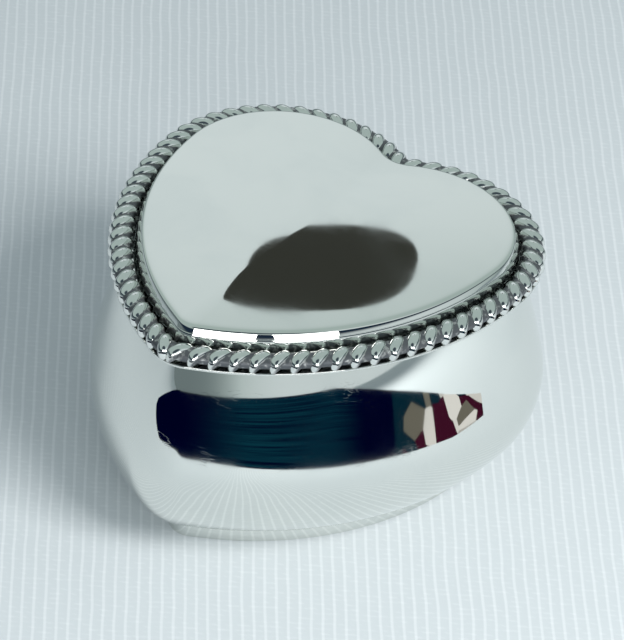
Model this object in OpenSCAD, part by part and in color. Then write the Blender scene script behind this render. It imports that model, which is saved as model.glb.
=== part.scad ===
// Heart-shaped trinket box with a bombe body and a hinged, rope-bordered lid.
// The tip of the heart points to -Y and the cleft, with the hinge, to +Y.
// The origin is on the surface that the box stands on, below the middle of its bounding box.
// Every horizontal section is the same heart grown or shrunk by an offset d,
// where d = 0 is the edge of the raised lid panel.

/* [Heart outline] */
// Distance of each lobe's centre from the centre line
lobe_x = 14.5; // [12:0.1:16]
// Radius of each lobe at the lid panel
lobe_r = 21.3; // [19:0.1:23]
// Radius of the long side arcs at the lid panel
side_r = 59; // [52:0.5:68]
// Radius of the rounded tip at the lid panel and inside it
tip_r = 4.7; // [3:0.1:6]
// How fast the tip's radius grows outside the lid panel's outline, with the square of the offset
tip_growth = 0.13; // [0:0.01:0.2]
// Radius in the cleft at the lid panel
cleft_r = 6.1; // [5:0.1:8]

/* [Body] */
// Height of the foot band
foot_h = 3.2; // [2.5:0.1:4]
// How far the foot band lies inside the lid panel's outline
foot_in = 1.9; // [1.5:0.1:2.5]
// Height of the widest part of the belly
belly_z = 20; // [18:0.5:22]
// How far the belly stands out from the lid panel's outline
belly_out = 8.7; // [8:0.1:9.5]
// Height of the rim that the lid closes on
rim_z = 46.4; // [44:0.1:50]
// How far the rim stands out from the lid panel's outline
rim_out = 0.6; // [0.3:0.1:1]
// Thickness of the silver-plated metal wall
wall = 1.2; // [1:0.1:1.5]

/* [Lid] */
// Height of the edge of the lid panel
panel_z = 52.5; // [52:0.1:56]
// Rise of the domed panel above its edge
dome_h = 1.1; // [0.5:0.1:1.8]
// Distance of the rope border's centre line from the panel's edge
rope_out = 3.85; // [3.7:0.05:4]
// Width of the rope border
rope_w = 5.1; // [4.6:0.1:5.2]
// Height of the rope border
rope_h = 3.9; // [3.4:0.1:4.2]

/* [Hinge] */
// Radius of the hinge knuckles
knuckle_r = 1.35; // [1.2:0.05:1.4]
// Length of the whole hinge along X
hinge_w = 14; // [12:0.5:14]
// Radius of the hinge pin
pin_r = 0.7; // [0.6:0.05:0.75]
// Radial clearance of the pin in the turning knuckle
pin_gap = 0.06; // [0.04:0.01:0.08]

/* [Lining] */
// Thickness of the velvet-covered card
card_t = 1; // [0.8:0.1:1.2]
// Height of the padded velvet floor
floor_pad_h = 4.8; // [3:0.1:6]

/* [Hidden] */

// Where the side arcs join the lobes, as an angle at the lobe's centre.
side_join = -1.8;
side_x = lobe_x - (side_r - lobe_r) * cos(side_join);
side_y = -(side_r - lobe_r) * sin(side_join);

// Radius of the tip at an offset.
function tip_radius(d) = tip_r + tip_growth * pow(max(d, 0), 2);

// Where the tip arc's centre lies along Y at an offset, before the shift.
function tip_centre(d) = side_y - sqrt(pow(side_r + d - tip_radius(d), 2) - pow(side_x, 2));

// The heart is shifted along Y so that the belly's bounding box is centred on the origin.
belly_tip_y = tip_centre(belly_out) - tip_radius(belly_out);
shift_y = -(lobe_r + belly_out + belly_tip_y) / 2;

// Foot and floor.
foot_t = 1.7;
plate_t = 1.2;
felt_t = 1;
felt_gap = 0.4;

// Belly arcs, by the wall's lean from the vertical: one arc from the foot past the widest part,
// one long arc up to the shoulder and one small arc that rolls in to the rim.
body_foot_out = -foot_in - 0.7;
belly_reach = belly_out - body_foot_out;
belly_r = (pow(belly_reach, 2) + pow(belly_z - foot_h, 2)) / (2 * belly_reach);
foot_lean = -asin((belly_z - foot_h) / belly_r);
belly_lean = 15;
shoulder_lean = 23;
rim_lean = 52;
shoulder_r = 3;
shoulder_z = rim_z - shoulder_r * (sin(rim_lean) - sin(shoulder_lean));
shoulder_out = rim_out + shoulder_r * (cos(shoulder_lean) - cos(rim_lean));
flank_z = belly_z + belly_r * sin(belly_lean);
flank_out = belly_out - belly_r * (1 - cos(belly_lean));

// Bezel inside the mouth.
bezel_seat_h = 2;
bezel_t = 1;
bezel_outer = rim_out - 1.3;
lining_outer = body_foot_out - wall - 0.1;
lining_inner = lining_outer - card_t;
lip_outer = bezel_outer - 1.3;
lip_t = 1;
lip_h = 1.2;

// Lid heights.
seam = 0.2;
lid_z = rim_z + seam;
ledge_t = 0.8;
ledge_out = 5.8;
ledge_chamfer = 0.3;
frame_in = 1.7;
panel_t = 1.2;
frame_top = panel_z - panel_t;
slope_lean = 25;
slope_end = panel_z - 2.1;
cove_foot_out = 1.2;
rope_z = lid_z + ledge_t + 1.5;
dome_reach = 18;
lid_pad_h = 3.1;
lid_pad_in = 2.4;

// Hinge axis, under the rope border in the cleft.
hinge_y = 24 + shift_y;
hinge_z = rim_z - 1.6;
leaf_t = 0.8;
knuckle_gap = 0.1;
lid_knuckle_w = 4.9;
pin_head_r = 1.05;
pin_head_t = 0.4;

// An arc of n steps about [x, y] from angle a to angle b.
function arc(x, y, r, a, b, n) = [for (i = [0:n]) let (t = a + (b - a) * i / n) [x + r * cos(t), y + r * sin(t)]];

// A list without its first point, where an arc follows on from the one before.
function rest(p) = [for (i = [1:len(p) - 1]) p[i]];

// The right half of the heart from the cleft round to the tip, grown by d.
function half_heart(d) =
    let (cr = max(cleft_r - 0.75 * d, 0.6))
    let (cy = sqrt(pow(lobe_r + d + cr, 2) - pow(lobe_x, 2)))
    let (ty = tip_centre(d))
    let (tip_a = atan2(ty - side_y, -side_x))
    concat(
        arc(0, cy, cr, -90, -atan2(cy, lobe_x), 5),
        rest(arc(lobe_x, 0, lobe_r + d, 180 - atan2(cy, lobe_x), side_join, 22)),
        rest(arc(side_x, side_y, side_r + d, side_join, tip_a, 13)),
        rest(arc(0, ty, tip_radius(d), tip_a, -90, 5)));

// The whole heart, grown by d, clockwise from the cleft.
function heart(d) =
    let (right = half_heart(d))
    let (all = concat(right, [for (i = [len(right) - 2:-1:1]) [-right[i][0], right[i][1]]]))
    [for (p = all) [p[0], p[1] + shift_y]];

// The wall's outer face as [offset, height] points from the foot up to the rim.
function wall_face(out = 0) =
    let (long_r = (flank_out - shoulder_out) / (cos(belly_lean) - cos(shoulder_lean)))
    let (long_h = (shoulder_z - flank_z) / (sin(shoulder_lean) - sin(belly_lean)))
    concat(
        [for (i = [0:8]) let (t = foot_lean * (1 - i / 8))
            [belly_out - belly_r * (1 - cos(t)) + out, belly_z + belly_r * sin(t)]],
        [for (i = [1:3]) let (t = belly_lean * i / 3)
            [belly_out - belly_r * (1 - cos(t)) + out, belly_z + belly_r * sin(t)]],
        [for (i = [1:5]) let (t = belly_lean + (shoulder_lean - belly_lean) * i / 5)
            [flank_out - long_r * (cos(belly_lean) - cos(t)) + out, flank_z + long_h * (sin(t) - sin(belly_lean))]],
        [for (i = [1:3]) let (t = shoulder_lean + (rim_lean - shoulder_lean) * i / 3)
            [shoulder_out - shoulder_r * (cos(shoulder_lean) - cos(t)) + out,
             shoulder_z + shoulder_r * (sin(t) - sin(shoulder_lean))]]);

// A solid ring: the closed profile of [offset, height] points carried round the heart.
module heart_ring(profile) {
    rings = [for (p = profile) [for (q = heart(p[0])) [q[0], q[1], p[1]]]];
    n = len(rings[0]);
    m = len(rings);
    faces = [for (k = [0:m - 1], i = [0:n - 1])
        let (a = k * n + i, b = k * n + (i + 1) % n)
        let (c = ((k + 1) % m) * n + i, e = ((k + 1) % m) * n + (i + 1) % n)
        each [[a, b, e], [a, e, c]]];
    polyhedron([for (r = rings) each r], faces);
}

// A straight-sided heart plate, grown by d, from height z upwards.
module heart_plate(d, z, h) {
    translate([0, 0, z])
        linear_extrude(h)
            polygon(heart(d));
}

// A straight-sided heart band between two offsets, from height z upwards.
module heart_band(outer, inner, z, h) {
    translate([0, 0, z])
        linear_extrude(h)
            difference() {
                polygon(heart(outer));
                polygon(heart(inner));
            }
}

// A cylinder along X between two places.
module rod(x0, x1, r) {
    translate([x0, hinge_y, hinge_z])
        rotate([0, 90, 0])
            cylinder(h = x1 - x0, r = r, $fn = 48);
}

module foot_rim() {
    color("silver")
        heart_band(-foot_in, -foot_in - foot_t, 0, foot_h);
}

module base_plate() {
    color("lightgrey")
        heart_plate(-foot_in - foot_t, foot_h - plate_t, plate_t);
}

module base_felt() {
    color("midnightblue")
        heart_plate(-foot_in - foot_t - felt_gap, foot_h - plate_t - felt_t, felt_t);
}

module body_wall() {
    outer = wall_face();
    // The inner face follows the outer one up to the seat of the bezel.
    inner = [for (p = wall_face(-wall)) if (p[1] < rim_z - bezel_seat_h) p];
    last = inner[len(inner) - 1];
    seat = [[last[0], rim_z - bezel_seat_h], [bezel_outer, rim_z - bezel_seat_h], [bezel_outer, rim_z]];
    up = concat(inner, seat);
    color("silver")
        heart_ring(concat(outer, [for (i = [len(up) - 1:-1:0]) up[i]]));
}

module rim_bezel() {
    color("silver")
        union() {
            heart_band(bezel_outer, bezel_outer - bezel_t, rim_z - bezel_seat_h, bezel_seat_h);
            heart_band(bezel_outer, lining_inner, rim_z - bezel_t, bezel_t);
            heart_band(lip_outer, lip_outer - lip_t, rim_z - bezel_t, bezel_t + lip_h);
        }
}

module lining_wall() {
    color("navy")
        heart_band(lining_outer, lining_inner, foot_h, rim_z - bezel_t - foot_h);
}

module floor_pad() {
    color("navy")
        heart_plate(lining_inner, foot_h, floor_pad_h);
}

// The fixed leaf: a shelf that follows the cleft of the body, with the two outer knuckles.
module hinge_leaf_body() {
    shelf_front = 16 + shift_y;
    bite = 1.3;
    color("silver")
        difference() {
            union() {
                translate([0, 0, hinge_z - knuckle_r])
                    linear_extrude(leaf_t)
                        difference() {
                            translate([-hinge_w / 2, shelf_front])
                                square([hinge_w, hinge_y - shelf_front]);
                            polygon(heart(bite));
                        }
                rod(-hinge_w / 2, hinge_w / 2, knuckle_r);
            }
            rod(-hinge_w, hinge_w, pin_r);
            translate([-lid_knuckle_w / 2 - knuckle_gap, hinge_y - knuckle_r - 0.6, hinge_z - 2 * knuckle_r])
                cube([lid_knuckle_w + 2 * knuckle_gap, 4 * knuckle_r, 4 * knuckle_r]);
        }
}

module hinge_pin() {
    color("lightgrey")
        union() {
            rod(-hinge_w / 2, hinge_w / 2, pin_r);
            rod(-hinge_w / 2 - pin_head_t, -hinge_w / 2, pin_head_r);
            rod(hinge_w / 2, hinge_w / 2 + pin_head_t, pin_head_r);
        }
}

// The moving leaf: a tongue under the lid's ledge that keeps clear of the cleft, with the middle knuckle.
module hinge_leaf_lid() {
    tongue_w = 11;
    tongue_front = 16 + shift_y;
    tongue_back = hinge_y - knuckle_r - 0.4;
    wall_gap = 1.2;
    color("silver")
        difference() {
            union() {
                translate([0, 0, lid_z - leaf_t])
                    linear_extrude(leaf_t)
                        difference() {
                            union() {
                                translate([-tongue_w / 2, tongue_front])
                                    square([tongue_w, tongue_back - tongue_front]);
                                translate([-lid_knuckle_w / 2, tongue_front])
                                    square([lid_knuckle_w, hinge_y - tongue_front]);
                            }
                            polygon(heart(rim_out + wall_gap));
                        }
                rod(-lid_knuckle_w / 2, lid_knuckle_w / 2, knuckle_r);
            }
            rod(-hinge_w, hinge_w, pin_r + pin_gap);
        }
}

// How far the sloping shoulder below the panel's edge has spread out at a height.
function shoulder_out(z) = (panel_z - 0.2 - z) * tan(slope_lean);

module lid_frame() {
    color("silver")
        heart_ring(concat(
            [[-frame_in, frame_top], [-frame_in, lid_z]],
            [[ledge_out - ledge_chamfer, lid_z], [ledge_out, lid_z + ledge_chamfer], [ledge_out, lid_z + ledge_t]],
            [[cove_foot_out, lid_z + ledge_t]],
            [[shoulder_out(slope_end), slope_end], [shoulder_out(frame_top), frame_top]]));
}

// The panel swells from its edge to a flat middle.
module lid_panel() {
    steps = 6;
    edge = [[shoulder_out(frame_top), frame_top], [0, panel_z - 0.2], [-0.25, panel_z]];
    swell = [for (i = [1:steps]) let (s = i / steps)
        [-0.25 - dome_reach * s, panel_z + dome_h * (1 - pow(1 - s, 2))]];
    rings = [for (p = concat(edge, swell)) [for (q = heart(p[0])) [q[0], q[1], p[1]]]];
    n = len(rings[0]);
    m = len(rings);
    sides = [for (k = [0:m - 2], i = [0:n - 1])
        let (a = k * n + i, b = k * n + (i + 1) % n)
        each [[a, b, b + n], [a, b + n, a + n]]];
    bottom = [for (i = [n - 1:-1:0]) i];
    top = [for (i = [0:n - 1]) (m - 1) * n + i];
    color("gainsboro")
        polyhedron([for (r = rings) each r], concat(sides, [bottom, top]));
}

module rope_border() {
    cut = asin((rope_z - lid_z - ledge_t) / (rope_h / 2));
    steps = 13;
    color("silver")
        heart_ring([for (i = [0:steps]) let (t = -cut + (180 + 2 * cut) * i / steps)
            [rope_out + rope_w / 2 * cos(t), rope_z + rope_h / 2 * sin(t)]]);
}

module lid_lining() {
    color("navy")
        heart_plate(-lid_pad_in, frame_top - lid_pad_h, lid_pad_h);
}

foot_rim();
base_plate();
base_felt();
body_wall();
rim_bezel();
lining_wall();
floor_pad();
hinge_leaf_body();
hinge_pin();
hinge_leaf_lid();
lid_frame();
lid_panel();
rope_border();
lid_lining();
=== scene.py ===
import math

import bmesh
import bpy
from mathutils import Matrix, Vector


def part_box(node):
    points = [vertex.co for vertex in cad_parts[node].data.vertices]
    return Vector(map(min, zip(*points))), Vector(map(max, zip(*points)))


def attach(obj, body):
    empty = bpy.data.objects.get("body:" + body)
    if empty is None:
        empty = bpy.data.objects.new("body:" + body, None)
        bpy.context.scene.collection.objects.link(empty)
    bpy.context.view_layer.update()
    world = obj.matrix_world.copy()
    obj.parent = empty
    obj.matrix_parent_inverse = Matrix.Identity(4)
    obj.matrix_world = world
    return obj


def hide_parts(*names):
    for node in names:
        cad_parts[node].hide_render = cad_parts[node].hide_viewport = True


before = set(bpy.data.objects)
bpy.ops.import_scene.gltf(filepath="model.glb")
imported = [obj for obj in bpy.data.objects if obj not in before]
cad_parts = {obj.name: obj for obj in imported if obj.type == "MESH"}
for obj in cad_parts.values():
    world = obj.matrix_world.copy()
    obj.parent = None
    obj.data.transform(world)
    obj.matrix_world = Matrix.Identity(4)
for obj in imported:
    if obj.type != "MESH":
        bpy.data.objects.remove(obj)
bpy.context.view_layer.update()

# Sizes of the heart that every part follows, in metres, at the edge of the lid's raised panel.
LOBE_X = 0.0145
LOBE_R = 0.0213
SIDE_R = 0.059
TIP_R = 0.0047
TIP_GROWTH = 130.0
CLEFT_R = 0.0061
SIDE_JOIN = math.radians(-1.8)

# The rope border.
ROPE_OUT = 0.00380
STRANDS_RIGHT = 34
STRANDS_LEFT = 36
STRAND_SLANT = math.radians(46)
STRAND_LENGTH = 0.0057
STRAND_WIDTH = 0.0027
STRAND_DEPTH = 0.0034

# The cloth that the box stands on.
RIB_TURN = math.radians(36)
RIB_PITCH = 0.0022
ROW_PITCH = 0.0014

# How far the lid's panel spreads out below its edge.
SHOULDER = 0.001 * math.tan(math.radians(25))

# How the padded pieces are blown up.
CLOTH_SCALE = 10.0
CLOTH_STEPS = 20
PAD_PRESSURE = 4.0

# Edges of the stamped and soldered plate.
EDGE_ROLL = 0.00016

# The crown of the lid's panel.
CROWN_RISE = 0.0011
CROWN_RINGS = 24
CROWN_BACK = 0.005

# How far down each strand the painted shade and tarnish reach, how far the rope's core lies behind the
# strands, and the core's low crest value, which paints it in full shade.
CREST_DEPTH = 0.0022
CORE_SHRINK = 0.0006
CORE_CREST = 0.05

panel_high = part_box("lid_panel")[1]
rope_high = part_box("rope_border")[1]
floor_low, floor_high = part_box("floor_pad")
lid_pad_low, lid_pad_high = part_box("lid_lining")
HEART_Y = panel_high.y - LOBE_R - SHOULDER


# ---------------------------------------------------------------- working on pieces

def only(*pieces):
    """Selects these pieces and nothing else."""
    bpy.ops.object.select_all(action="DESELECT")
    for piece in pieces:
        piece.select_set(True)
    bpy.context.view_layer.objects.active = pieces[0]


def edit(piece):
    """Opens a piece in edit mode with nothing selected."""
    only(piece)
    bpy.ops.object.mode_set(mode="EDIT")
    bpy.ops.mesh.select_mode(type="VERT")
    bpy.ops.mesh.select_all(action="DESELECT")


def close():
    bpy.ops.object.mode_set(mode="OBJECT")


def work(piece, kind, **settings):
    """Puts a modifier on a piece and applies it."""
    only(piece)
    modifier = piece.modifiers.new(kind.title(), kind)
    for name, value in settings.items():
        setattr(modifier, name, value)
    bpy.ops.object.modifier_apply(modifier=modifier.name)
    return piece


def smooth(piece, angle=35):
    only(piece)
    bpy.ops.object.shade_smooth_by_angle(angle=math.radians(angle))
    return piece


def settle(piece):
    """Puts a piece's place in its mesh, with its object at the origin."""
    only(piece)
    bpy.ops.object.transform_apply(location=True, rotation=True, scale=True)
    return piece


def named(name):
    """The primitive that was just added, under its own name."""
    piece = bpy.context.active_object
    piece.name = name
    piece.data.name = name
    return piece


def drawn_from(node, name):
    """A copy of a solid with its corners merged and its triangles paired up, ready for finer work."""
    piece = bpy.data.objects.new(name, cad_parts[node].data.copy())
    bpy.context.scene.collection.objects.link(piece)
    piece.data.materials.clear()
    only(piece)
    bpy.ops.mesh.customdata_custom_splitnormals_clear()
    edit(piece)
    bpy.ops.mesh.select_all(action="SELECT")
    bpy.ops.mesh.remove_doubles(threshold=0.000002)
    bpy.ops.mesh.tris_convert_to_quads(face_threshold=math.radians(60), shape_threshold=math.radians(60))
    close()
    return piece


def rolled_shell(node, name, roll=EDGE_ROLL, levels=2):
    """A sheet-metal part with its edges rolled over and its curves made truly round."""
    piece = drawn_from(node, name)
    work(piece, "BEVEL", width=roll, segments=2, limit_method="ANGLE", angle_limit=math.radians(38))
    work(piece, "SUBSURF", levels=levels, render_levels=levels)
    return smooth(piece, 50)


# ---------------------------------------------------------------- the heart's outline

def heart_arcs(offset):
    """The arcs of the right half, cleft to tip: centre, radius, both angles, side of the metal."""
    cleft_r = max(CLEFT_R - 0.75 * offset, 0.0006)
    cleft_y = math.sqrt((LOBE_R + offset + cleft_r) ** 2 - LOBE_X ** 2)
    side_x = LOBE_X - (SIDE_R - LOBE_R) * math.cos(SIDE_JOIN)
    side_y = -(SIDE_R - LOBE_R) * math.sin(SIDE_JOIN)
    tip_r = TIP_R + TIP_GROWTH * max(offset, 0) ** 2
    tip_y = side_y - math.sqrt((SIDE_R + offset - tip_r) ** 2 - side_x ** 2)
    tip_turn = math.atan2(tip_y - side_y, -side_x)
    lobe_turn = math.atan2(cleft_y, LOBE_X)
    return [
        (0, cleft_y, cleft_r, -math.pi / 2, -lobe_turn, -1),
        (LOBE_X, 0, LOBE_R + offset, math.pi - lobe_turn, SIDE_JOIN, 1),
        (side_x, side_y, SIDE_R + offset, SIDE_JOIN, tip_turn, 1),
        (0, tip_y, tip_r, tip_turn, -math.pi / 2, 1),
    ]


def heart_place(offset, share, height, mirrored=False):
    """A point on the outline, the way out and the way on to the tip, at a share of one half."""
    arcs = heart_arcs(offset)
    lengths = [abs(arc[2] * (arc[4] - arc[3])) for arc in arcs]
    left = share * sum(lengths)
    for arc, length in zip(arcs, lengths):
        if left <= length or arc is arcs[-1]:
            break
        left -= length
    x, y, radius, first, last, side = arc
    turn = first + (last - first) * left / length
    out = Vector((math.cos(turn), math.sin(turn), 0)) * side
    point = Vector((x + radius * math.cos(turn), y + HEART_Y + radius * math.sin(turn), height))
    if mirrored:
        out.x = -out.x
        point.x = -point.x
    onward = Vector((out.y, -out.x, 0)) * (-1 if mirrored else 1)
    return point, out, onward


# ---------------------------------------------------------------- finishes

class Wire:
    """A value on its way through a finish. Sums on it add its Math nodes."""

    def __init__(self, finish, socket):
        self.finish = finish
        self.socket = socket

    def _sum(self, operation, first, second):
        return self.finish.node("ShaderNodeMath", {"operation": operation}, {0: first, 1: second})

    def __add__(self, other):
        return self._sum("ADD", self, other)

    def __radd__(self, other):
        return self._sum("ADD", other, self)

    def __sub__(self, other):
        return self._sum("SUBTRACT", self, other)

    def __rsub__(self, other):
        return self._sum("SUBTRACT", other, self)

    def __mul__(self, other):
        return self._sum("MULTIPLY", self, other)

    def __rmul__(self, other):
        return self._sum("MULTIPLY", other, self)

    def __truediv__(self, other):
        return self._sum("DIVIDE", self, other)

    def __gt__(self, other):
        return self._sum("GREATER_THAN", self, other)

    def __abs__(self):
        return self._sum("ABSOLUTE", self, 0)

    def capped(self, low=0, high=1):
        return self._sum("MINIMUM", self._sum("MAXIMUM", self, low), high)

    def ramp(self, low, high):
        """0 below low, 1 above high and smooth between."""
        ends = {"Value": self, "From Min": low, "From Max": high}
        return self.finish.node("ShaderNodeMapRange", {"interpolation_type": "SMOOTHSTEP"}, ends)


class Nodes:
    """The nodes of a material or of the room."""

    def __init__(self, owner):
        owner.use_nodes = True
        self.nodes = owner.node_tree.nodes
        self.links = owner.node_tree.links

    def node(self, kind, settings=None, inputs=None, output=0):
        """Adds a node: its settings first, then the values or links of its sockets."""
        made = self.nodes.new(kind)
        for name, value in (settings or {}).items():
            setattr(made, name, value)
        for name, value in (inputs or {}).items():
            self.feed(made.inputs[name], value)
        return Wire(self, made.outputs[output])

    def feed(self, socket, value):
        if isinstance(value, Wire):
            self.links.new(value.socket, socket)
        else:
            socket.default_value = value

    def mixed(self, share, low, high):
        """A colour between two others."""
        return self.node("ShaderNodeMix", {"data_type": "RGBA"}, {0: share, 6: low, 7: high}, 2)


class Finish(Nodes):
    """A material."""

    def __init__(self, name):
        self.material = bpy.data.materials.new(name)
        super().__init__(self.material)
        self.shader = self.nodes["Principled BSDF"]
        self.place = self.node("ShaderNodeTexCoord", output="Object")

    def set(self, values):
        for name, value in values.items():
            self.feed(self.shader.inputs[name], value)
        return self.material

    def turned(self, degrees, stretch=(1, 1, 1)):
        """The place on the piece, turned about the vertical and stretched."""
        moves = {"Vector": self.place, "Rotation": (0, 0, math.radians(degrees)), "Scale": stretch}
        return self.node("ShaderNodeMapping", {}, moves)

    def cloud(self, scale, detail=2.0, where=None, roughness=0.5, warp=0.0):
        """Soft noise from 0 to 1, with this many cells in a metre."""
        inputs = {
            "Vector": where or self.place,
            "Scale": scale,
            "Detail": detail,
            "Roughness": roughness,
            "Distortion": warp,
        }
        return self.node("ShaderNodeTexNoise", {}, inputs)

    def sawtooth(self, where, pitch):
        """0 to 1 and back over each pitch."""
        return self.node("ShaderNodeMath", {"operation": "PINGPONG"}, {0: where / (pitch / 2), 1: 1.0})

    def relief(self, height, depth, strength=1.0, under=None):
        """A bump of this height in metres at 1."""
        inputs = {"Height": height, "Distance": depth, "Strength": strength}
        if under is not None:
            inputs["Normal"] = under
        return self.node("ShaderNodeBump", {}, inputs)


def hairlines(finish, degrees, scale, thinness=90):
    """Thin straight scratches one way, only here and there."""
    along = finish.turned(degrees, (0.05, 1, 1))
    streak = finish.cloud(scale, 1, along)
    line = (1 - abs(streak - 0.5) * thinness).capped()
    patch = finish.cloud(110, 1, finish.turned(degrees + 40)).ramp(0.60, 0.70)
    return line * patch


def silver_plate(name, rough=0.018, haze_rough=0.035, scratch=1.0, worn=1.0):
    """Polished silver plate: a mirror with a faint haze from handling and fine rubbing marks."""
    finish = Finish(name)
    haze = finish.cloud(55, 3, warp=0.6).ramp(0.38, 0.72)
    rub = finish.cloud(700, 2, finish.turned(25, (0.35, 1, 1)))
    lines = hairlines(finish, 18, 900) + hairlines(finish, 74, 1100) + hairlines(finish, 131, 800)
    colour = finish.mixed(haze * 0.35, (0.80, 0.815, 0.785, 1), (0.70, 0.73, 0.715, 1))
    wave = finish.relief(finish.cloud(45, 1), 0.00004 * worn)
    marks = finish.relief(rub * 0.25 + lines * scratch, 0.0000009 * worn, under=wave)
    return finish.set({
        "Metallic": 1.0,
        "Base Color": colour,
        "Roughness": (rough + haze * haze_rough + rub * 0.012 + lines * 0.05 * scratch).capped(),
        "Normal": marks,
    })


def rope_silver(name):
    """Silver plate with dark tarnish and painted shade in the hollows between the strands and on their
    lower sides.
    """
    finish = Finish(name)
    crest = finish.node("ShaderNodeAttribute", {"attribute_name": "crest"}, output="Fac")
    # Painted shade with tarnish: dark navy where the crest value is low, in the hollows and on the
    # strands' lower sides.
    tarnish_and_painted_shade = (1 - crest.ramp(0.30, 0.62)) * finish.cloud(900, 2).ramp(0.1, 0.5)
    worn = finish.cloud(260, 2).ramp(0.35, 0.7)
    polished = finish.mixed(worn * 0.4, (0.82, 0.835, 0.81, 1), (0.72, 0.745, 0.735, 1))
    colour = finish.mixed(tarnish_and_painted_shade * 0.9, polished, (0.028, 0.036, 0.05, 1))
    dents = finish.relief(finish.cloud(700, 2), 0.00003)
    return finish.set({
        "Metallic": 1 - tarnish_and_painted_shade * 0.4,
        "Base Color": colour,
        "Roughness": 0.06 + tarnish_and_painted_shade * 0.35 + worn * 0.03,
        "Normal": dents,
    })


def drawn_steel(name):
    """Bright steel wire with the drawing lines along it."""
    finish = Finish(name)
    lines = finish.cloud(3000, 2, finish.turned(0, (0.04, 1, 1)))
    return finish.set({
        "Metallic": 1.0,
        "Base Color": finish.mixed(lines, (0.52, 0.53, 0.54, 1), (0.66, 0.67, 0.67, 1)),
        "Roughness": 0.2 + lines * 0.18,
        "Normal": finish.relief(lines, 0.00001),
    })


def velvet(name, deep=(0.007, 0.013, 0.055, 1), light=(0.02, 0.034, 0.12, 1)):
    """Short-pile velvet, lighter where the pile has been stroked the other way."""
    finish = Finish(name)
    stroked = finish.cloud(70, 3, warp=1.2).ramp(0.38, 0.66)
    pile = finish.cloud(6500, 2)
    cells = {"Vector": finish.place, "Scale": 3800.0}
    tufts = finish.node("ShaderNodeTexVoronoi", {"feature": "F1"}, cells, "Distance")
    colour = finish.mixed((stroked * 0.55 + pile * 0.5).capped(), deep, light)
    return finish.set({
        "Base Color": colour,
        "Roughness": 0.78 + pile * 0.2,
        "Sheen Weight": 0.85,
        "Sheen Roughness": 0.32,
        "Sheen Tint": (0.35, 0.45, 0.95, 1),
        "Specular IOR Level": 0.18,
        "Normal": finish.relief((1 - tufts) * 0.6 + pile * 0.7, 0.00014),
    })


def pressed_felt(name):
    """Pressed wool felt: matted fibres, slightly mottled."""
    finish = Finish(name)
    fibres = finish.cloud(2600, 4, finish.turned(33, (1, 0.4, 1)), warp=1.5)
    mottle = finish.cloud(220, 3)
    matted = (fibres * 0.7 + mottle * 0.4).capped()
    colour = finish.mixed(matted, (0.006, 0.010, 0.034, 1), (0.026, 0.036, 0.09, 1))
    return finish.set({
        "Base Color": colour,
        "Roughness": 0.9 + mottle * 0.08,
        "Sheen Weight": 0.35,
        "Sheen Roughness": 0.6,
        "Specular IOR Level": 0.12,
        "Normal": finish.relief(fibres, 0.00018),
    })


silver = silver_plate("polished_silver_plate")
panel_silver = silver_plate("polished_panel_silver", scratch=0.5, worn=0.25)
silver_inside = silver_plate("brushed_silver_inside", rough=0.11, haze_rough=0.08)
# The rope's finish paints shade and tarnish into the hollows and lower sides of the strands.
rope_finish = rope_silver("rope_silver_tarnish_and_painted_shade")
pin_finish = drawn_steel("drawn_steel_wire")
blue_velvet = velvet("blue_velvet")
blue_felt = pressed_felt("blue_felt")


def fit_out(piece, body, slot, finish, *nodes):
    """Gives a finished piece its material and the body it rides on, and hides the solids it stands for.
    """
    piece.data.materials.clear()
    piece.data.materials.append(finish)
    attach(piece, body)
    if nodes:
        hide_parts(*nodes)
    return piece


# ---------------------------------------------------------------- the box

def body_shell():
    piece = rolled_shell("body_wall", "body_shell")
    return fit_out(piece, "box", "silver_plate", silver, "body_wall")


def foot_band():
    piece = rolled_shell("foot_rim", "foot_band", roll=0.00025)
    return fit_out(piece, "box", "silver_plate", silver, "foot_rim")


def bottom_plate():
    piece = rolled_shell("base_plate", "bottom_plate", levels=1)
    return fit_out(piece, "box", "silver_plate", silver_inside, "base_plate")


def mouth_bezel():
    piece = rolled_shell("rim_bezel", "mouth_bezel")
    return fit_out(piece, "box", "silver_plate", silver_inside, "rim_bezel")


# ---------------------------------------------------------------- the lid

def lid_skirt():
    piece = rolled_shell("lid_frame", "lid_skirt")
    return fit_out(piece, "lid", "silver_plate", silver, "lid_frame")


def lid_dome():
    """The raised panel. Its crown is drawn again as rings about one centre, to mirror cleanly."""
    piece = drawn_from("lid_panel", "lid_dome")
    top = panel_high.z
    edge = top - CROWN_RISE
    centre = Vector((0, HEART_Y - CROWN_BACK, edge))
    edit(piece)
    shape = bmesh.from_edit_mesh(piece.data)
    crown = [face for face in shape.faces if face.calc_center_median().z > edge + 0.00001]
    bmesh.ops.delete(shape, geom=crown, context="FACES")
    loop = [side for side in shape.edges if side.is_boundary]
    for ring in range(CROWN_RINGS):
        share = 1 - 1 / (CROWN_RINGS - ring)
        left = 1 - (ring + 1) / CROWN_RINGS
        drawn = bmesh.ops.extrude_edge_only(shape, edges=loop)["geom"]
        loop = [part for part in drawn if isinstance(part, bmesh.types.BMEdge)]
        corners = [part for part in drawn if isinstance(part, bmesh.types.BMVert)]
        for corner in corners:
            corner.co.xy = centre.xy + (corner.co.xy - centre.xy) * share
            corner.co.z = edge + (top - edge) * (1 - left ** 2)
    bmesh.ops.remove_doubles(shape, verts=corners, dist=0.00001)
    bmesh.ops.recalc_face_normals(shape, faces=shape.faces)
    bmesh.update_edit_mesh(piece.data)
    close()
    work(piece, "BEVEL", width=0.00012, segments=2, limit_method="ANGLE", angle_limit=math.radians(50))
    work(piece, "SUBSURF", levels=2, render_levels=2)
    crown = piece.vertex_groups.new(name="crown")
    crown.add([v.index for v in piece.data.vertices if v.co.z > edge + 0.0001], 1.0, "REPLACE")
    work(piece, "SMOOTH", factor=0.5, iterations=60, use_x=False, use_y=False, vertex_group="crown")
    piece.vertex_groups.clear()
    smooth(piece, 50)
    return fit_out(piece, "lid", "silver_plate", panel_silver, "lid_panel")


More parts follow.
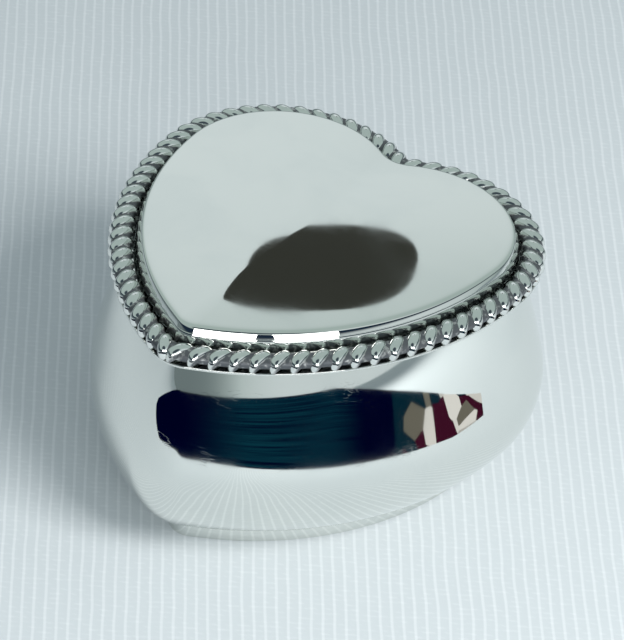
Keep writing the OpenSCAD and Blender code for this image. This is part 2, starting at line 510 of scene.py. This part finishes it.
def one_strand():
    """One strand of the rope: a plump rounded bar drooping at both ends, with its crest at height 0."""
    bpy.ops.mesh.primitive_cube_add(size=1, location=(0, 0, 0))
    piece = named("strand")
    edit(piece)
    for along in (-0.32, 0.0, 0.32):
        bpy.ops.mesh.select_all(action="SELECT")
        bpy.ops.mesh.bisect(plane_co=(along, 0, 0), plane_no=(1, 0, 0))
    for near, drop, width in ((0.32, 0.10, 0.96), (0.5, 0.38, 0.72)):
        shape = bmesh.from_edit_mesh(piece.data)
        for vertex in shape.verts:
            vertex.select = abs(abs(vertex.co.x) - near) < 0.02
        shape.select_flush_mode()
        bmesh.update_edit_mesh(piece.data)
        bpy.ops.transform.translate(value=(0, 0, -drop))
        bpy.ops.transform.resize(value=(1, width, 0.85))
    close()
    work(piece, "SUBSURF", levels=2, render_levels=2)
    only(piece)
    piece.dimensions = (STRAND_LENGTH, STRAND_WIDTH, STRAND_DEPTH)
    settle(piece)
    high = max(vertex.co.z for vertex in piece.data.vertices)
    edit(piece)
    bpy.ops.mesh.select_all(action="SELECT")
    bpy.ops.transform.translate(value=(0, 0, -high))
    close()
    return piece


def rope():
    """The rope border: strands laid from the cleft to the tip on both sides, on a core."""
    strand = one_strand()
    attribute = strand.data.attributes.new("crest", "FLOAT", "POINT")
    # The crest value falls off towards each strand's sides and underside; the rope's finish paints shade
    # and tarnish where it is low.
    for vertex, value in zip(strand.data.vertices, attribute.data):
        side = abs(vertex.co.y) / (STRAND_WIDTH / 2)
        drop = -vertex.co.z / CREST_DEPTH
        value.value = max(0.0, min(1.0, 1.25 - 0.75 * side ** 2 - 0.45 * drop))
    laid = []
    for mirrored, count in ((False, STRANDS_RIGHT), (True, STRANDS_LEFT)):
        for number in range(count):
            share = (number + 0.5) / count
            point, out, onward = heart_place(ROPE_OUT, share, rope_high.z, mirrored)
            across = out * math.cos(STRAND_SLANT) + onward * math.sin(STRAND_SLANT)
            up = Vector((0, 0, 1))
            side = up.cross(across)
            turn = Matrix((across, side, up)).transposed().to_4x4()
            copy = bpy.data.objects.new("strand_copy", strand.data.copy())
            bpy.context.scene.collection.objects.link(copy)
            copy.data.transform(Matrix.Translation(point) @ turn)
            laid.append(copy)
    only(*laid)
    bpy.ops.object.join()
    piece = named("rope_strands")
    bpy.data.objects.remove(strand)
    smooth(piece, 60)
    fit_out(piece, "lid", "silver_plate", rope_finish, "rope_border")

    core = drawn_from("rope_border", "rope_core")
    edit(core)
    bpy.ops.mesh.select_all(action="SELECT")
    bpy.ops.transform.shrink_fatten(value=-CORE_SHRINK)
    close()
    work(core, "SUBSURF", levels=1, render_levels=1)
    smooth(core, 60)
    # A low crest value over the whole core, so its finish paints the core dark with shade and tarnish.
    depth = core.data.attributes.new("crest", "FLOAT", "POINT")
    for value in depth.data:
        value.value = CORE_CREST
    fit_out(core, "lid", "silver_plate", rope_finish)
    return piece


# ---------------------------------------------------------------- the hinge

def hinge_part(node, name, body, slot, finish):
    piece = drawn_from(node, name)
    work(piece, "BEVEL", width=0.0001, segments=2, limit_method="ANGLE", angle_limit=math.radians(38))
    smooth(piece, 30)
    return fit_out(piece, body, slot, finish, node)


# ---------------------------------------------------------------- the lining

def soft_block(node, name, voxel=0.0009, inset=0.0004):
    """A wadded block a little smaller than its room, ready to be filled."""
    piece = drawn_from(node, name)
    edit(piece)
    bpy.ops.mesh.select_all(action="SELECT")
    bpy.ops.transform.shrink_fatten(value=-inset)
    close()
    work(piece, "REMESH", mode="VOXEL", voxel_size=voxel)
    return piece


def filled(piece, held, cap):
    """Blows a wadded block up as cloth, at ten times its size, and keeps every point near its start."""
    start = [vertex.co.copy() for vertex in piece.data.vertices]
    piece.data.transform(Matrix.Scale(CLOTH_SCALE, 4))
    group = piece.vertex_groups.new(name="held")
    group.add([n for n, co in enumerate(start) if held(co)], 1.0, "REPLACE")
    only(piece)
    modifier = piece.modifiers.new("Fill", "CLOTH")
    modifier.settings.quality = 5
    modifier.settings.mass = 0.3
    modifier.settings.tension_stiffness = 12
    modifier.settings.compression_stiffness = 12
    modifier.settings.bending_stiffness = 0.4
    modifier.settings.use_pressure = True
    modifier.settings.uniform_pressure_force = PAD_PRESSURE
    modifier.settings.vertex_group_mass = "held"
    modifier.settings.effector_weights.gravity = 0.0
    modifier.collision_settings.use_collision = False
    modifier.point_cache.frame_start = 1
    modifier.point_cache.frame_end = CLOTH_STEPS
    for step in range(1, CLOTH_STEPS + 1):
        bpy.context.scene.frame_set(step)
    bpy.ops.object.modifier_apply(modifier=modifier.name)
    bpy.context.scene.frame_set(1)
    piece.data.transform(Matrix.Scale(1 / CLOTH_SCALE, 4))
    piece.vertex_groups.clear()
    for vertex, co in zip(piece.data.vertices, start):
        moved = vertex.co - co
        if moved.length > cap:
            moved *= cap / moved.length
        vertex.co = co + moved
    return piece


def clamp_height(piece, low, high):
    for vertex in piece.data.vertices:
        vertex.co.z = min(max(vertex.co.z, low), high)


def floor_cushion():
    piece = soft_block("floor_pad", "floor_cushion", inset=0.0011)
    rest_z = floor_low.z
    filled(piece, lambda co: co.z < rest_z + 0.0016, 0.0011)
    work(piece, "SMOOTH", factor=0.5, iterations=6)
    clamp_height(piece, floor_low.z, floor_high.z)
    work(piece, "SUBSURF", levels=1, render_levels=1)
    smooth(piece, 180)
    fit_out(piece, "box", "velvet", blue_velvet, "floor_pad")
    return piece


def lid_cushion():
    piece = soft_block("lid_lining", "lid_cushion", voxel=0.0008, inset=0.0007)
    rest_z = lid_pad_high.z
    filled(piece, lambda co: co.z > rest_z - 0.0012, 0.0008)
    work(piece, "SMOOTH", factor=0.5, iterations=5)
    clamp_height(piece, lid_pad_low.z, lid_pad_high.z)
    work(piece, "SUBSURF", levels=1, render_levels=1)
    smooth(piece, 180)
    fit_out(piece, "lid", "velvet", blue_velvet, "lid_lining")
    return piece


def wall_lining():
    piece = rolled_shell("lining_wall", "wall_lining", roll=0.0003)
    return fit_out(piece, "box", "velvet", blue_velvet, "lining_wall")


def felt_sheet():
    piece = rolled_shell("base_felt", "felt_sheet", roll=0.0003)
    return fit_out(piece, "box", "felt", blue_felt, "base_felt")


body_shell()
foot_band()
bottom_plate()
mouth_bezel()
lid_skirt()
lid_dome()
rope()
hinge_part("hinge_leaf_body", "hinge_shelf", "box", "silver_plate", silver_inside)
hinge_part("hinge_leaf_lid", "hinge_tongue", "lid", "silver_plate", silver_inside)
hinge_part("hinge_pin", "hinge_wire", "box", "pin_steel", pin_finish)
floor_cushion()
lid_cushion()
wall_lining()
felt_sheet()


# ---------------------------------------------------------------- the studio

# The screens' distance from the box and how it changes with each degree.
SCREEN_NEAR = 0.137
SCREEN_SPREAD = 0.00095
SCREEN_FOLD = 0.0024
FOLD_START = 77
FOLD_SPAN = 30
SKYLINE = 0.0415
LID_TOP = 0.053


def backdrop(obj, finish):
    obj.data.materials.clear()
    obj.data.materials.append(finish)
    return obj


def table_cloth(name):
    """Pale plain cloth with a faint rib one way and fine rows across."""
    finish = Finish(name)
    along = finish.node("ShaderNodeMapping", {}, {"Vector": finish.place, "Rotation": (0, 0, -RIB_TURN)})
    wander = finish.cloud(60, 1) * 0.0008
    parts = finish.node("ShaderNodeSeparateXYZ", {}, {0: along}, "X") + wander
    rows = finish.node("ShaderNodeSeparateXYZ", {}, {0: along}, "Y") + wander
    rib = finish.sawtooth(parts, RIB_PITCH).ramp(0.62, 0.9)
    row = finish.sawtooth(rows, ROW_PITCH).ramp(0.3, 0.9)
    fleck = finish.cloud(900, 2, finish.turned(math.degrees(RIB_TURN), (0.3, 1, 1))).ramp(0.4, 0.7)
    weave = (rib * 0.5 + row * 0.25 * fleck + 0.2).capped()
    return finish.set({
        "Base Color": finish.mixed(weave, (0.60, 0.655, 0.68, 1), (0.78, 0.825, 0.85, 1)),
        "Roughness": 0.9,
        "Specular IOR Level": 0.1,
    })


bpy.ops.mesh.primitive_plane_add(size=6, location=(0, 0, 0))
backdrop(named("table"), table_cloth("pale_cloth"))


def shining(finish, colour):
    """Makes a finish shine with this colour and mirror nothing."""
    return finish.set({
        "Base Color": (0, 0, 0, 1),
        "Specular IOR Level": 0.0,
        "Emission Color": colour,
        "Emission Strength": 1.0,
    })


def seen_in_metal_only(obj):
    obj.visible_camera = False
    obj.visible_diffuse = False
    obj.visible_shadow = False
    obj.visible_transmission = False
    return obj


def standing_screen(name, first, last, heights, finish):
    """A low curved screen about the box between two directions in degrees.

    It stands further off towards the tip and folds in again past it.
    """
    steps = 60
    mesh = bpy.data.meshes.new(name)
    points = []
    marks = []
    for step in range(steps + 1):
        share = step / steps
        degrees = first + (last - first) * share
        fold = min(max(-degrees - FOLD_START, 0), FOLD_SPAN)
        radius = SCREEN_NEAR + SCREEN_SPREAD * max(-degrees, -10) - SCREEN_FOLD * fold
        turn = math.radians(degrees)
        for height, mark in ((0.0, 0.0), (heights(degrees), 1.0)):
            points.append(Vector((radius * math.cos(turn), radius * math.sin(turn), height)))
            marks.append((share, mark))
    faces = [(2 * n, 2 * n + 1, 2 * n + 3, 2 * n + 2) for n in range(steps)]
    mesh.from_pydata(points, [], faces)
    layer = mesh.uv_layers.new(name="UVMap")
    for loop in mesh.loops:
        layer.data[loop.index].uv = marks[loop.vertex_index]
    screen = bpy.data.objects.new(name, mesh)
    bpy.context.scene.collection.objects.link(screen)
    return seen_in_metal_only(backdrop(screen, finish))


def aimed(place, target):
    return (Vector(target) - Vector(place)).to_track_quat("-Z", "Y")


def lamp(name, size, power, place, target, tint=(1, 1, 1), in_metal=True):
    data = bpy.data.lights.new(name, "AREA")
    data.shape = "RECTANGLE"
    data.size = size[0]
    data.size_y = size[1]
    data.energy = power
    data.color = tint
    light = bpy.data.objects.new(name, data)
    bpy.context.scene.collection.objects.link(light)
    light.location = place
    light.rotation_mode = "QUATERNION"
    light.rotation_quaternion = aimed(place, target)
    light.visible_camera = False
    light.visible_glossy = in_metal
    return light


def toward(azimuth, elevation, distance, base=(0, 0, 0.04)):
    """A point this far from the box in a direction in degrees."""
    a, e = math.radians(azimuth), math.radians(elevation)
    flat = Vector((math.cos(a) * math.cos(e), math.sin(a) * math.cos(e), math.sin(e)))
    return Vector(base) + flat * distance


def dark_room(name):
    """A dark room beyond the table: navy, with teal streaks in the middle."""
    finish = Finish(name)
    spot = finish.node("ShaderNodeTexCoord", output="UV")
    along = finish.node("ShaderNodeSeparateXYZ", {}, {0: spot}, "X")
    drawn = finish.node("ShaderNodeMapping", {}, {"Vector": spot, "Scale": (1.2, 14, 1)})
    streaks = finish.cloud(3.0, 3, drawn)
    middle = along.ramp(0.48, 0.64) * (1 - along.ramp(0.82, 0.93))
    teal = middle * streaks.ramp(0.3, 0.7)
    colour = finish.mixed(teal, (0.0, 0.0006, 0.016, 1), (0.003, 0.040, 0.062, 1))
    return shining(finish, colour)


def cluttered_room(name):
    """Blurred household things at the side: cream, white, teal and maroon patches."""
    finish = Finish(name)
    spot = finish.node("ShaderNodeTexCoord", output="UV")
    moves = {"Vector": spot, "Scale": (5.0, 1.6, 1), "Location": (0.3, 0.1, 0)}
    cells = {"Vector": finish.node("ShaderNodeMapping", {}, moves), "Scale": 1.3, "Randomness": 1.0}
    patch = finish.node("ShaderNodeTexVoronoi", {}, cells, "Color")
    pick = finish.node("ShaderNodeSeparateXYZ", {}, {0: patch}, "X")
    tone = finish.node("ShaderNodeSeparateXYZ", {}, {0: patch}, "Y")
    dark = finish.mixed(tone > 0.5, (0.002, 0.02, 0.035, 1), (0.05, 0.006, 0.02, 1))
    pale = finish.mixed(tone.ramp(0.3, 0.9), (0.16, 0.15, 0.12, 1), (0.8, 0.78, 0.74, 1))
    colour = finish.mixed(pick > 0.48, dark, pale)
    return shining(finish, colour)


def screen_top(degrees):
    """The dark room's skyline: level towards the tip and falling away at both ends."""
    fall = max(0.0, degrees + 28) / 50
    end = max(0.0, -70 - degrees) / 64
    return SKYLINE - 0.0325 * fall ** 1.2 - 0.039 * end ** 2.3


standing_screen("dark_room", -133, -9, screen_top, dark_room("dark_room"))
standing_screen("cluttered_room", -9, 22, screen_top, cluttered_room("cluttered_room"))


def ceiling_card(name, azimuth, elevation, distance, size, finish):
    """A rounded dark card over the far side of the box, that the lid's panel mirrors."""
    bpy.ops.mesh.primitive_circle_add(vertices=48, radius=0.5, fill_type="NGON")
    card = named(name)
    for vertex in card.data.vertices:
        x, y = vertex.co.x * 2, vertex.co.y * 2
        vertex.co.x = 0.5 * size[0] * math.copysign(abs(x) ** 0.8, x)
        vertex.co.y = 0.5 * size[1] * math.copysign(abs(y) ** 0.75, y)
    place = toward(azimuth, elevation, distance, (0.0, -0.005, LID_TOP))
    card.data.transform(Matrix.Translation(place) @ aimed(place, (0, 0, LID_TOP)).to_matrix().to_4x4())
    return seen_in_metal_only(backdrop(card, finish))


card_grey = shining(Finish("card_grey"), (0.038, 0.040, 0.034, 1))
ceiling_card("dark_card", 120.2, 40.0, 0.6, (0.101, 0.077), card_grey)

world = bpy.data.worlds.new("room")
bpy.context.scene.world = world
room = Nodes(world)
direction = room.node("ShaderNodeTexCoord", output="Generated")


def facing(azimuth, elevation, outer, inner):
    """1 near a direction, 0 beyond so many degrees from it, and smooth between."""
    nearness = room.node("ShaderNodeVectorMath", {"operation": "DOT_PRODUCT"},
                         {0: direction, 1: toward(azimuth, elevation, 1, (0, 0, 0))}, "Value")
    return nearness.ramp(math.cos(math.radians(outer)), math.cos(math.radians(inner)))


height = room.node("ShaderNodeSeparateXYZ", {}, {0: direction}, "Z")
far_side = facing(121, 27, 75, 45)
ceiling = (height + far_side * 0.2).ramp(0.38, 0.46) * (1 - facing(-58, 56, 26, 18) * 0.9)
near_wall = (facing(-8, 4, 62, 30) + 0.42).capped() * (1 - height.ramp(0.14, 0.24))
lit = (ceiling + near_wall * 0.9).capped()
window_glow = (facing(125, 28, 22, 0) + facing(-12, 5, 55, 25)).capped()
dim = (0.012, 0.024, 0.045, 1)
bright = room.mixed(window_glow, (0.41, 0.50, 0.485, 1), (0.72, 0.80, 0.82, 1))
room_colour = room.mixed(lit, dim, bright)
in_cloth = room.node("ShaderNodeLightPath", output="Is Diffuse Ray")
background = room.nodes["Background"]
room.feed(background.inputs["Color"], room.mixed(in_cloth, room_colour, (0.36, 0.41, 0.43, 1)))

lamp("window", (0.35, 0.35), 5.5, toward(-8, 42, 0.8), (0, 0, 0.02), (1, 0.98, 0.96), in_metal=False)
lamp("near_pane", (0.25, 0.20), 0.8, toward(-62, 17, 0.7), (0, 0, 0.05))
lamp("far_pane", (0.27, 0.20), 0.9, toward(-34, 17, 0.7), (0, 0, 0.05))

# ---------------------------------------------------------------- the camera

VIEW_TURN = math.radians(31.84)
VIEW_RISE = math.radians(37.04)
VIEW_ROLL = math.radians(4.99)
VIEW_DISTANCE = 0.8329
VIEW_TARGET = Vector((-0.01924, HEART_Y + 0.02284, 0.0))
VIEW_LENS = 224.3

back = Vector((
    math.sin(VIEW_TURN) * math.cos(VIEW_RISE),
    -math.cos(VIEW_TURN) * math.cos(VIEW_RISE),
    math.sin(VIEW_RISE),
))
right = Vector((math.cos(VIEW_TURN), math.sin(VIEW_TURN), 0))
above = back.cross(right)
rolled_right = right * math.cos(VIEW_ROLL) + above * math.sin(VIEW_ROLL)
rolled_above = above * math.cos(VIEW_ROLL) - right * math.sin(VIEW_ROLL)
camera_data = bpy.data.cameras.new("camera")
camera_data.lens = VIEW_LENS
camera_data.sensor_width = 36
camera = bpy.data.objects.new("camera", camera_data)
bpy.context.scene.collection.objects.link(camera)
camera.matrix_world = (
    Matrix.Translation(VIEW_TARGET + back * VIEW_DISTANCE)
    @ Matrix((rolled_right, rolled_above, back)).transposed().to_4x4()
)
bpy.context.scene.camera = camera
bpy.context.scene.view_settings.view_transform = "Standard"
